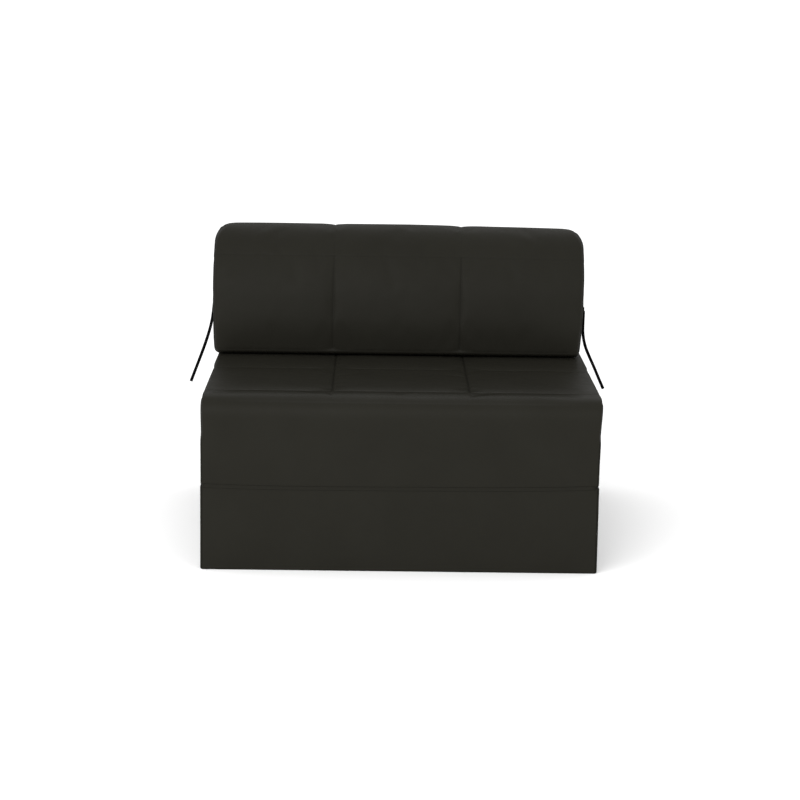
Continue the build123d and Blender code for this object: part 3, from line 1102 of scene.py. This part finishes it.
def add_patch(work, tree, side, middle):
    """A thin pad with rounded corners that lies on the bolster's end."""
    across, up = PATCH_GRID
    half = np.array(PATCH_SIZE) / 2
    grid = {}
    for i in range(across + 1):
        for j in range(up + 1):
            share = np.array([i / across * 2 - 1, j / up * 2 - 1])
            offset = share * half
            inner = np.clip(offset, -(half - PATCH_CORNER), half - PATCH_CORNER)
            out = offset - inner
            length = np.linalg.norm(out)
            if length > PATCH_CORNER:
                offset = inner + out * PATCH_CORNER / length
            edge = max(abs(share))
            lift = PATCH_THICKNESS * math.sqrt(max(0.0, 1 - edge**PATCH_FLATNESS))
            if i in (0, across) or j in (0, up):
                lift -= PATCH_SINK
            y, z = middle + offset
            grid[i, j] = work.verts.new((surface_x(tree, side, y, z) + side * lift, y, z))
    for i in range(across):
        for j in range(up):
            face = [grid[i, j], grid[i + 1, j], grid[i + 1, j + 1], grid[i, j + 1]]
            work.faces.new(face if side > 0 else face[::-1])


def patch_stitches(middle):
    """Ends of the stitches round the patch and of the cross inside it, in its own plane."""
    y, z = PATCH_SIZE[0] / 2 - PATCH_MARGIN, PATCH_SIZE[1] / 2 - PATCH_MARGIN
    corners = [(-y, -z), (y, -z), (y, z), (-y, z)]
    lines = [(corners[number - 1], corners[number]) for number in range(4)]
    lines += [(corners[0], corners[2]), (corners[1], corners[3])]
    stitches = []
    for start, end in lines:
        start, end = np.array(start) + middle, np.array(end) + middle
        count = round(np.linalg.norm(end - start) / STITCH_PITCH)
        for number in range(count):
            stitches.append([start + (end - start) * (number + share) / count for share in STITCH_SPAN])
    return stitches


make_tie("left", LEFT_TIE_ROUTE)
make_tie("right", RIGHT_TIE_ROUTE)

# ---- zips

TAPE_THICKNESS = 0.0008
TAPE_SLIT = 0.0004
TAPE_WAVE = 0.0002
TAPE_WAVE_TURN = 0.9  # radians from one grid line to the next
TAPE_ROWS = 5
TOOTH_SIZE = (0.0013, 0.0036, 0.0015)
TOOTH_PITCH = 0.0021
TOOTH_STAGGER = 0.0005
TOOTH_BEVEL = 0.0003
STOP_SIZE = (0.0030, 0.0056, 0.0018)
STOP_BEVEL = 0.0005
BLOCK_ZIP_SINK = 0.0006  # how far the tapes lie inside their nodes' inner faces
BACK_ZIP_SINK = 0.0026  # how far the tape lies under the bolster's rear face


def to_frame(middle, along, up, outward):
    """Matrix from a zip's own axes (along it, across it, out of the cover) to the model's frame."""
    matrix = Matrix((along, up, outward)).transposed().to_4x4()
    matrix.translation = middle
    return matrix


def make_tape(name, place, length, width):
    """Two woven tapes side by side, each a thin sheet with a slight wave."""
    steps = round(length / GRID_STEP)
    points, faces = [], []
    for side in (-1, 1):
        rows = np.linspace(TAPE_SLIT, width / 2, TAPE_ROWS) * side
        faces += sheet_faces(steps + 1, TAPE_ROWS, first=len(points), flip=side < 0)
        for i, x in enumerate(np.linspace(-length / 2, length / 2, steps + 1)):
            for y in rows:
                wave = TAPE_WAVE * math.sin(i * TAPE_WAVE_TURN + side) * abs(y) / width * 2
                points.append(place @ Vector((x, y, TAPE_THICKNESS + wave)))
    tape = make_mesh(name, points, faces)
    thicken(tape, TAPE_THICKNESS, -1)
    paint(tape, ZIP_TAPE)
    return tape


def make_teeth(name, place, length):
    """The closed chain: teeth in two interlocking rows, and a metal stop at each end."""
    work = bmesh.new()
    height = TAPE_THICKNESS + TOOTH_SIZE[2] / 2
    first = -length / 2 + STOP_SIZE[0] * 2
    count = int((length - STOP_SIZE[0] * 4) / TOOTH_PITCH)
    for number in range(count):
        middle = (first + number * TOOTH_PITCH, TOOTH_STAGGER * (-1) ** number, height)
        matrix = Matrix.Translation(middle) @ Matrix.Diagonal((*TOOTH_SIZE, 1))
        bmesh.ops.create_cube(work, size=1.0, matrix=matrix)
    bmesh.ops.bevel(work, geom=work.edges[:], offset=TOOTH_BEVEL, segments=1, affect="EDGES", profile=0.5)
    teeth = len(work.faces)
    for side in (-1, 1):
        add_box(work, (side * (length / 2 - STOP_SIZE[0]), 0, height), STOP_SIZE, STOP_BEVEL)
    work.transform(place)
    return finish_mesh(work, name, teeth, ZIP_COIL, ZIP_METAL)


def make_zip(prefix, middle, along, up, outward):
    """A zip round its middle. Its tape and teeth are made here, and its slider and pull are the CAD nodes."""
    low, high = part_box(f"{prefix}_zip_tape")
    place = to_frame(middle, along, up, outward)
    length = max(high - low)
    width = (high - low).dot(Vector([abs(value) for value in up]))
    tape = make_tape(f"{prefix}_tape", place, length, width)
    teeth = make_teeth(f"{prefix}_teeth", place, length)
    for piece, node, slot in ((tape, "zip_tape", "zip_tape"), (teeth, "zip_chain", "zip_coil")):
        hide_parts(f"{prefix}_{node}")
        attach(piece, prefix)
    for part in ("zip_slider", "zip_pull"):
        paint(nodes[f"{prefix}_{part}"], ZIP_METAL)


def make_zips():
    for prefix in ("base", "seat"):
        low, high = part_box(f"{prefix}_zip_tape")
        middle = Vector((high[0] + BLOCK_ZIP_SINK, 0, (low[2] + high[2]) / 2))
        make_zip(prefix, middle, Vector((0, -1, 0)), Vector((0, 0, 1)), Vector((-1, 0, 0)))
    low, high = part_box("back_zip_tape")
    (rear_y, rear_z), (foot_y, foot_z) = BACK_SIDE_VIEW[4][0], BACK_SIDE_VIEW[5][0]
    up = Vector((0, rear_y - foot_y, rear_z - foot_z)).normalized()
    outward = Vector((0, up.z, -up.y))
    middle_z = (low[2] + high[2]) / 2
    surface_y = foot_y + (middle_z - foot_z) * up.y / up.z
    middle = Vector((0, surface_y, middle_z)) - outward * BACK_ZIP_SINK
    make_zip("back", middle, Vector((-1, 0, 0)), up, outward)


make_zips()

# ---- fabric hinges

HINGE_HALF_LENGTH = 0.446
HINGE_HALF_HEIGHT = 0.0042
HINGE_THICKNESS = 0.0008
HINGE_PROUD = 0.0004  # how far the strip's edges stand out of the covers' faces
HINGE_FOLD = 0.0005  # how deep the strip folds into the groove
HINGE_ROWS = 9


def make_hinge(name, is_front):
    """A strip of cloth in the groove between two bodies. The front one hangs with the crease."""
    low, high = span(f"{name}_lower", f"{name}_upper")
    inward = 1 if is_front else -1
    y = (low[1] if is_front else high[1]) - inward * HINGE_PROUD
    z = (low[2] + high[2]) / 2
    columns = round(2 * HINGE_HALF_LENGTH / GRID_STEP) + 1
    points = []
    for x in np.linspace(-HINGE_HALF_LENGTH, HINGE_HALF_LENGTH, columns):
        hang = crease_height(x, BLOCK_HALF_WIDTH) if is_front else 0.0
        for share in np.linspace(-1, 1, HINGE_ROWS):
            depth = HINGE_FOLD * (1 - share**2)
            points.append((x, y + inward * depth, z + share * HINGE_HALF_HEIGHT + hang))
    strip = make_mesh(name, points, sheet_faces(columns, HINGE_ROWS, flip=not is_front))
    thicken(strip, HINGE_THICKNESS, 1)
    paint(strip, HINGE_FABRIC)
    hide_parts(f"{name}_lower", f"{name}_upper")
    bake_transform(strip)


make_hinge("front_hinge", is_front=True)
make_hinge("rear_hinge", is_front=False)

# ---- the base's underside

UNDERLAY_LIFT = 0.0004
UNDERLAY_THICKNESS = 0.0012
UNDERLAY_GRID = (60, 62)


def make_underlay():
    """The non-slip panel under the base, set into the cover's underside."""
    low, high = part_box("base_cover_underside")
    columns, rows = (np.linspace(low[axis], high[axis], UNDERLAY_GRID[axis]) for axis in (0, 1))
    points = [(x, y, UNDERLAY_LIFT + UNDERLAY_THICKNESS) for x in columns for y in rows]
    panel = make_mesh("base_underlay", points, sheet_faces(*UNDERLAY_GRID))
    thicken(panel, UNDERLAY_THICKNESS, -1)
    paint(panel, UNDERLAY)
    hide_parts("base_cover_underside")
    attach(panel, "base")


make_underlay()
